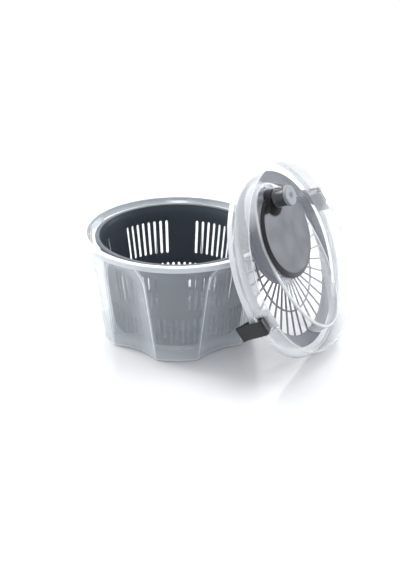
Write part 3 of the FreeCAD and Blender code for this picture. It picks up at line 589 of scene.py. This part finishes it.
def make_lid():
    count = 480
    angles = np.linspace(0, 2 * math.pi, count, endpoint=False)
    cosine, sine = np.cos(angles), np.sin(angles)

    def circle(radius, height, centre=0.0):
        return np.stack([radius * cosine, centre + radius * sine, np.full(count, height)], axis=1)

    def oval(grow, height):
        across, along = (OVAL[0] + grow) * cosine, (OVAL[1] + grow) * sine
        return np.stack([across, along, np.full(count, height)], axis=1)

    def between(first, second, share):
        return first * (1 - share) + second * share

    hole_top = circle(HOLE_RADIUS + 0.6, OVAL_TOP, CRANK_Y)
    plateau = oval(-4.0, OVAL_TOP)
    rings = [circle(HOLE_RADIUS, OVAL_TOP - 0.6, CRANK_Y), hole_top]
    rings += [between(hole_top, plateau, share) for share in np.linspace(0.2, 0.8, 4)]
    profile = rounded([(-4.0, OVAL_TOP), (0.0, OVAL_TOP), (OVAL_DRAFT, LID_WALL),
                       (OVAL_DRAFT + 4.0, LID_WALL)], 2.6, 6, closed=False)
    rings += [oval(grow, height) for grow, height in profile]
    band_foot = LID_RADIUS - LID_WALL - 1.0
    outer = rounded([(band_foot - 2.5, LID_WALL), (band_foot, LID_WALL),
                     (BAND_TOP_RADIUS - LID_WALL - 0.7, BAND_TOP), (BAND_TOP_RADIUS, BAND_TOP),
                     (LID_RADIUS, 1.0), (LID_RADIUS, -LIP), (LID_RADIUS - LIP_WALL, -LIP),
                     (LID_RADIUS - LIP_WALL, 0.0), (LID_RADIUS - 5.0, 0.0)], 0.7, 4, closed=False)
    last_oval = rings[-1]
    first_circle = circle(*outer[0])
    rings += [between(last_oval, first_circle, share) for share in (0.33, 0.67)]
    rings += [circle(radius, height) for radius, height in outer]
    inner = rounded([(OVAL_DRAFT + 3.0, 0.0), (OVAL_DRAFT - LID_WALL, 0.0),
                     (-LID_WALL, OVAL_TOP - LID_WALL), (-8.0, OVAL_TOP - LID_WALL)], 1.6, 5, closed=False)
    under_first = oval(*inner[0])
    rings.append(between(rings[-1], under_first, 0.5))
    rings += [oval(grow, height) for grow, height in inner]
    under_hole = circle(HOLE_RADIUS, OVAL_TOP - LID_WALL, CRANK_Y)
    rings += [between(rings[-1], under_hole, share) for share in (0.25, 0.5, 0.75)]
    rings.append(under_hole)
    vertices = np.concatenate(rings)
    faces = ring_faces(len(rings), count, closed=True)
    lid = piece("lid_cover", vertices, faces, LID, "lid", "lid_plastic", ["lid_shell"])

    cutters = []
    for side in (1.0, -1.0):
        low = np.array([CLIP_HINGE - 5.0, -(CLIP_HALF + 0.4), LID_WALL])
        high = np.array([CLIP_HINGE + 12.0, CLIP_HALF + 0.4, BAND_TOP + 6.0])
        cutters.append(block(low, high, side))
    notch = loose("lid_notches", joined(*cutters), LID)
    modified(lid, "BOOLEAN", object=notch, operation="DIFFERENCE", solver="EXACT")
    bpy.data.objects.remove(notch)
    modified(lid, "BEVEL", width=0.35 * MM, segments=2, limit_method="ANGLE",
             angle_limit=math.radians(60), use_clamp_overlap=False)
    dress(lid, "lid", "lid_plastic", ["lid_shell"], 35.0)
    veiled(lid, LID, lid_veil)

    lugs = []
    for side in (1.0, -1.0):
        for along in (CLIP_HALF + 0.4, -(CLIP_HALF + 0.4) - LUG):
            low = np.array([CLIP_HINGE - 5.0, along, LID_WALL - 0.5])
            high = np.array([CLIP_HINGE + 4.0, along + LUG, CLIP_HEIGHT + 4.0])
            lugs.append(block(low, high, side))
    hinges = piece("lid_lugs", *joined(*lugs), LID, "lid", "lid_plastic", ["lid_shell"])
    modified(hinges, "BEVEL", width=0.9 * MM, segments=3, limit_method="ANGLE",
             angle_limit=math.radians(60), use_clamp_overlap=False)
    dress(hinges, "lid", "lid_plastic", ["lid_shell"])
    veiled(hinges, LID, lambda x, y, z: (0.5, 9.0))

    shields = []
    for side in (1.0, -1.0):
        reach = CLIP_HALF + 0.4 + LUG
        low = np.array([CLIP_HINGE - 7.0, -reach, 0.5 * LID_WALL])
        high = np.array([CLIP_HINGE - 5.0, reach, SHIELD_TOP])
        shields.append(block(low, high, side))
    screens = piece("lid_shields", *joined(*shields), LID, "lid", "lid_plastic", ["lid_shell"])
    modified(screens, "BEVEL", width=0.7 * MM, segments=3, limit_method="ANGLE",
             angle_limit=math.radians(60), use_clamp_overlap=False)
    dress(screens, "lid", "lid_plastic", ["lid_shell"])
    veiled(screens, LID, lambda x, y, z: (0.52, 9.0))

    bosses = []
    for bearing in (90.0, -50.0, 230.0):
        x = 58.0 * math.cos(math.radians(bearing))
        y = CRANK_Y + 58.0 * math.sin(math.radians(bearing))
        outline = rounded([(1.5, 0.0), (3.6, 0.0), (3.6, OVAL_TOP - 1.0), (1.5, OVAL_TOP - 1.0)], 0.4, 2)
        bosses.append(turned(outline, 32, (x, y)))
    posts = piece("lid_bosses", *joined(*bosses), LID, "lid", "lid_plastic", ["lid_shell"])
    veiled(posts, LID, lambda x, y, z: (0.3, 9.0))


def lid_veil(x, y, z):
    """Milky band, lip and turret side, clearer floor; the bright lines at the corners are painted highlights,
    partly the plastic seen edge-on, and the turret side turns whiter towards both ends as a painted highlight.
    """
    radius = np.hypot(x, y)
    stretch = np.hypot(x / OVAL[0], y / OVAL[1])
    slope = np.hypot(x / OVAL[0] ** 2, y / OVAL[1] ** 2) / np.maximum(stretch, 0.01)
    from_oval = (stretch - 1.0) / np.maximum(slope, 0.001)
    from_crank = np.hypot(x, y - CRANK_Y)
    # the bright lines at the lid's corners, set by these distances, are painted highlights, partly the plastic
    # seen edge-on
    turret_top = 0.25 * np.hypot(from_oval + 0.8, z - OVAL_TOP + 0.4)
    turret_foot = np.hypot(from_oval - OVAL_DRAFT - 0.6, z - LID_WALL)
    band_top = np.hypot(radius - BAND_TOP_RADIUS, z - BAND_TOP)
    lip = np.hypot(radius - LID_RADIUS, z + LIP)
    foot = np.hypot(radius - LID_RADIUS + LID_WALL + 1.0, z - LID_WALL)
    hole = np.hypot(from_crank - HOLE_RADIUS, z - OVAL_TOP + 0.3) + 0.4
    edge = np.minimum.reduce([turret_top, turret_foot + 0.4, band_top, lip, foot + 0.3, hole])
    on_lip = (radius > LID_RADIUS - LIP_WALL - 0.2) & (z < 1.2)
    on_band = radius > LID_RADIUS - 7.2
    on_side = (np.abs(from_oval - 1.0) < 3.2) & (z > 0.5)
    # the turret side's veil rises towards both ends: a painted highlight
    side_veil_and_end_highlight = 0.12 + 0.65 * np.clip((np.abs(y) - 76.0) / 24.0, 0.0, 1.0)
    on_plateau = (from_oval < -1.0) & (z > OVAL_TOP - 4.0)
    veil = np.where(on_side, side_veil_and_end_highlight, np.where(on_plateau, 0.14, 0.05))
    veil = np.where(on_lip, 0.75, np.where(on_band, 0.28, veil))
    return veil, edge


def block(low, high, side):
    """A block used as a cutter or as the start of a bevelled lug or shield."""
    corners = [(x, y, z) for x in (low[0], high[0]) for y in (low[1], high[1])
               for z in (low[2], high[2])]
    if side < 0:
        corners = [(-x, -y, z) for x, y, z in corners]
    faces = [(0, 1, 3, 2), (4, 6, 7, 5), (0, 4, 5, 1), (2, 3, 7, 6), (0, 2, 6, 4), (1, 5, 7, 3)]
    return corners, faces


def loose(name, parts, place):
    """A helper mesh that isn't a piece of the object."""
    vertices, faces = parts
    mesh = bpy.data.meshes.new(name)
    mesh.from_pydata((np.asarray(vertices, float) * MM).tolist(), [], faces)
    mesh.transform(place)
    work = bmesh.new()
    work.from_mesh(mesh)
    bmesh.ops.recalc_face_normals(work, faces=work.faces)
    work.to_mesh(mesh)
    work.free()
    made = bpy.data.objects.new(name, mesh)
    bpy.context.scene.collection.objects.link(made)
    return made


# ---------------------------------------------------------------- strainer disc

STRAINER_RADIUS = 115.0
RING_INNER = 98.7
CROSS_RADIUS = 67.0
SPOKES = 36
SPOKE_WIDTH = 2.2


def make_strainer():
    top, low, spoke_top, spoke_low = -3.2, -5.6, -7.0, -9.0
    ring = rounded([(RING_INNER, spoke_low), (RING_INNER + 2.0, spoke_low), (RING_INNER + 2.0, low),
                    (STRAINER_RADIUS, low), (STRAINER_RADIUS, top), (RING_INNER, top)], 0.6, 3)
    cross_inner, cross_outer = CROSS_RADIUS - 0.5 * SPOKE_WIDTH, CROSS_RADIUS + 0.5 * SPOKE_WIDTH
    cross = rounded([(cross_inner, spoke_low), (cross_outer, spoke_low), (cross_outer, spoke_top),
                     (cross_inner, spoke_top)], 0.5, 2)
    hub = rounded([(5.0, spoke_low), (22.0, spoke_low), (22.0, spoke_top), (12.0, spoke_top),
                   (12.0, -3.3), (4.0, -3.3), (4.0, -6.5), (5.0, -6.5)], 0.5, 2)
    spokes = [bevelled_bar(80.5, SPOKE_WIDTH, spoke_low, spoke_top, 0.5, 19.0,
                           2 * math.pi * index / SPOKES) for index in range(SPOKES)]
    parts = joined(turned(ring, 240), turned(cross, 200), turned(hub, 96), *spokes)
    piece("strainer_wheel", *parts, LID, "strainer", "strainer_plastic", ["strainer_disc"])


# ---------------------------------------------------------------- crank and knob

CRANK_RADIUS = 57.5
CRANK_LOW = 16.6
FACET_RADIUS = 53.4
FACET_TOP = 21.6
PEDESTAL_TOP = 27.0
KNOB_ANGLE = math.radians(-7.0)
KNOB_REACH = 49.0
KNOB_CENTRE = (-KNOB_REACH * math.sin(KNOB_ANGLE), CRANK_Y + KNOB_REACH * math.cos(KNOB_ANGLE))


def make_crank():
    """The crank's disc: a flat facet, a bevel that widens away from the knob, and a swept pedestal."""
    count = 360
    angles = np.linspace(0, 2 * math.pi, count, endpoint=False)
    shift = 2.7
    toward = np.array([-math.sin(KNOB_ANGLE), math.cos(KNOB_ANGLE)])

    def surface(x, y):
        centre = np.hypot(x - toward[0] * shift, y - toward[1] * shift)
        from_edge = FACET_RADIUS - centre
        rim_gap = CRANK_RADIUS - np.hypot(x, y)
        bevel = 19.0 + 2.6 * np.clip(rim_gap / np.maximum(rim_gap - from_edge, 0.4), 0.0, 1.0)
        facet = softest(np.full_like(x, FACET_TOP), bevel, 0.5)
        reach = np.hypot(x - toward[0] * KNOB_REACH, y - toward[1] * KNOB_REACH)
        share = np.clip((24.0 - reach) / (24.0 - 13.2), 0.0, 1.0)
        swell = (PEDESTAL_TOP - facet) * share ** 2.2
        # a cove runs from the pedestal out to the rim on both sides
        across = x * toward[1] - y * toward[0]
        beyond = x * toward[0] + y * toward[1] - KNOB_REACH + 15.5 - 0.45 * (np.hypot(across, 9.0) - 9.0)
        cove = 0.42 * (np.hypot(np.maximum(beyond, 0.0), 2.0) - 2.0)
        return facet + np.minimum(np.maximum(swell, cove), PEDESTAL_TOP - facet)

    radii = np.concatenate([[6.0, 14.0, 22.0], np.linspace(26.0, 56.4, 60), [57.0, 57.3, 57.45]])
    rings = []
    for radius in radii:
        x, y = radius * np.cos(angles), radius * np.sin(angles)
        drop = 0.9 * max(0.0, (radius - 56.4) / 1.05) ** 2
        rings.append(np.stack([x, y + CRANK_Y, surface(x, y) - drop], axis=1))
    x, y = CRANK_RADIUS * np.cos(angles), CRANK_RADIUS * np.sin(angles)
    top = rings[-1][:, 2] - 0.5
    for share in (0.0, 0.5, 1.0):
        height = top + (CRANK_LOW + 0.4 - top) * share
        rings.append(np.stack([x, y + CRANK_Y, height], axis=1))
    for radius in (CRANK_RADIUS - 0.4, 30.0, 6.0):
        x, y = radius * np.cos(angles), radius * np.sin(angles)
        rings.append(np.stack([x, y + CRANK_Y, np.full(count, CRANK_LOW)], axis=1))
    vertices = np.concatenate(rings)
    faces = ring_faces(len(rings), count, closed=False)
    first, last = len(vertices), len(vertices) + 1
    vertices = np.concatenate([vertices, [[0, CRANK_Y, FACET_TOP], [0, CRANK_Y, CRANK_LOW]]])
    under = (len(rings) - 1) * count
    for k in range(count):
        n = (k + 1) % count
        faces.append((n, k, first))
        faces.append((under + k, under + n, last))
    pedestal = rounded([(0.0, CRANK_LOW), (13.4, CRANK_LOW), (12.6, PEDESTAL_TOP),
                        (0.0, PEDESTAL_TOP)], 0.7, 4)
    pedestal = [(0.0, CRANK_LOW)] + pedestal[5:-5] + [(0.0, PEDESTAL_TOP)]
    rib = rounded([(46.8, 13.0), (51.8, 13.0), (51.8, CRANK_LOW + 0.3), (46.8, CRANK_LOW + 0.3)], 0.3, 1)
    hub = rounded([(4.0, 11.2), (8.0, 11.2), (8.0, CRANK_LOW + 0.3), (4.0, CRANK_LOW + 0.3)], 0.3, 1)
    parts = joined((vertices, faces), turned(pedestal, 96, KNOB_CENTRE),
                   turned(rib, 160, (0.0, CRANK_Y)), turned(hub, 64, (0.0, CRANK_Y)))
    plate = piece("crank_plate", *parts, LID, "crank", "crank_plastic", ["crank_disc"], 40.0)
    # the pedestal and its cove get a duller, darker matte finish, painted shade for the knob's shadow on the disc;
    # the facet and bevel are polished
    plate.data.materials.append(CRANK_SHADE_MATTE)
    back = LID.inverted()
    for face in plate.data.polygons:
        if (back @ face.center).z > FACET_TOP * MM + 0.00025:
            face.material_index = 1


def make_knob():
    grip = rounded([(2.55, 27.3), (12.2, 27.3), (11.4, 32.0), (11.5, 39.0), (12.4, 43.9), (5.4, 43.9),
                    (5.4, 41.1), (2.55, 41.1)], 1.0, 4)
    piece("knob_grip", *turned(grip, 96, KNOB_CENTRE), LID, "knob", "knob_plastic", ["knob_body"])
    cap = [(0.0, 44.0)] + rounded([(6.0, 44.0), (12.9, 44.0), (12.9, 48.5), (4.0, 48.3), (1.6, 47.2),
                                   (0.8, 46.9)], 1.0, 5, closed=False) + [(0.0, 46.9)]
    piece("knob_lid", *turned(cap, 96, KNOB_CENTRE), LID, "knob", "cap_plastic", ["knob_cap"])


# ---------------------------------------------------------------- clips

def make_clip(name, node, side):
    """A thick bent strap with a rounded back, cast on its hinge barrel."""
    outline = rounded([(-2.6, 2.4), (-0.6, 4.0), (9.6, 4.0), (12.5, 1.2), (12.5, -12.0), (12.3, -22.0),
                       (12.6, -27.0), (14.0, -31.0), (11.2, -31.0), (9.9, -29.0), (9.9, -20.0),
                       (3.6, -16.4), (3.6, -14.7), (9.9, -13.9), (9.9, -1.0), (8.4, 1.0), (3.6, 0.6),
                       (2.6, -2.8), (-1.6, -3.6), (-4.0, -0.6)], 1.1, 3)
    open_angle = math.radians(8.0)
    hinge = Matrix.Translation(Vector((CLIP_HINGE, 0.0, CLIP_HEIGHT)) * MM)
    swing = Matrix.Rotation(open_angle, 4, Vector((0.0, -1.0, 0.0)))
    turn = Matrix.Rotation(0.0 if side > 0 else math.pi, 4, "Z")
    vertices = [(x, y, z) for y in (-CLIP_HALF, CLIP_HALF) for x, z in outline]
    count = len(outline)
    faces = [tuple(range(count)), tuple(range(2 * count - 1, count - 1, -1))]
    for k in range(count):
        n = (k + 1) % count
        faces.append((k, n, count + n, count + k))
    made = piece(name, vertices, faces, LID @ turn @ hinge @ swing, node, "clip_plastic", [node])
    modified(made, "BEVEL", width=0.8 * MM, segments=3, limit_method="ANGLE",
             angle_limit=math.radians(60), use_clamp_overlap=False)
    dress(made, node, "clip_plastic", [node])


make_bowl()
make_basket()
make_lid()
make_strainer()
make_crank()
make_knob()
make_clip("clip_strap_near", "clip_near", -1.0)
make_clip("clip_strap_far", "clip_far", 1.0)

slot_of = {part["node"]: part["material_slot"] for part in frame["record"]["subparts"]}
for node, made in frame["nodes"].items():
    made.data.materials.clear()
    made.data.materials.append(LOOKS[slot_of[node]])


# ---------------------------------------------------------------- floor, light and camera

def make_floor():
    material, tree, shader = node_tree("floor_pale")
    ramp = tree.nodes.new("ShaderNodeValToRGB")
    ramp.color_ramp.elements[0].color = (0.88, 0.885, 0.89, 1.0)
    ramp.color_ramp.elements[1].color = (0.91, 0.912, 0.915, 1.0)
    tree.links.new(noise(tree, 3.0), ramp.inputs["Fac"])
    tree.links.new(ramp.outputs["Color"], shader.inputs["Base Color"])
    shader.inputs["Roughness"].default_value = 0.2
    mesh = bpy.data.meshes.new("floor")
    half = 8.0
    corners = [(-half, -half, 0), (half, -half, 0), (half, half, 0), (-half, half, 0)]
    mesh.from_pydata(corners, [], [(0, 1, 2, 3)])
    mesh.materials.append(material)
    floor = bpy.data.objects.new("floor", mesh)
    bpy.context.scene.collection.objects.link(floor)


def area_light(name, place, target, size, watts, colour=(1.0, 1.0, 1.0)):
    data = bpy.data.lights.new(name, "AREA")
    data.shape = "DISK"
    data.size = size
    data.energy = watts
    data.color = colour
    light = bpy.data.objects.new(name, data)
    bpy.context.scene.collection.objects.link(light)
    light.location = place
    light.rotation_euler = (Vector(target) - Vector(place)).to_track_quat("-Z", "Y").to_euler()


make_floor()
area_light("softbox_right", (1.9, 0.75, 0.42), (0.14, -0.04, 0.12), 0.9, 10.0, (0.91, 0.95, 1.0))
area_light("soft_left", (-1.5, 0.7, 1.0), (0.0, 0.0, 0.07), 1.0, 24.0)
area_light("top_soft", (0.0, 0.3, 2.2), (0.0, 0.0, 0.0), 1.8, 30.0)
area_light("back_soft", (0.0, 2.9, 1.6), (0.0, 2.3, 0.0), 2.2, 26.0)

world = bpy.data.worlds.new("studio")
bpy.context.scene.world = world
world.use_nodes = True
background = world.node_tree.nodes["Background"]
direction = world.node_tree.nodes.new("ShaderNodeTexCoord")
tilt = world.node_tree.nodes.new("ShaderNodeMapping")
tilt.inputs["Rotation"].default_value = (0.0, math.radians(-90.0), math.radians(-50.0))
sweep = world.node_tree.nodes.new("ShaderNodeTexGradient")
shades = world.node_tree.nodes.new("ShaderNodeValToRGB")
shades.color_ramp.elements[0].position = 0.0
shades.color_ramp.elements[0].color = (0.62, 0.63, 0.65, 1.0)
shades.color_ramp.elements[1].position = 0.9
shades.color_ramp.elements[1].color = (1.0, 1.0, 1.0, 1.0)
world.node_tree.links.new(direction.outputs["Generated"], tilt.inputs["Vector"])
world.node_tree.links.new(tilt.outputs["Vector"], sweep.inputs["Vector"])
world.node_tree.links.new(sweep.outputs["Fac"], shades.inputs["Fac"])
world.node_tree.links.new(shades.outputs["Color"], background.inputs["Color"])
background.inputs["Strength"].default_value = 0.85
bpy.context.scene.view_settings.view_transform = "Standard"

look_at = Vector((0.0295, 0.0, 0.0622))
elevation = math.radians(25.2)
distance = 1.5
camera_data = bpy.data.cameras.new("camera")
camera_data.sensor_fit = "HORIZONTAL"
camera_data.sensor_width = 36.0
camera_data.lens = 101.25
camera = bpy.data.objects.new("camera", camera_data)
bpy.context.scene.collection.objects.link(camera)
away = Vector((0.0, -math.cos(elevation), math.sin(elevation)))
camera.location = look_at + away * distance
camera.rotation_euler = (-away).to_track_quat("-Z", "Y").to_euler()
bpy.context.scene.camera = camera
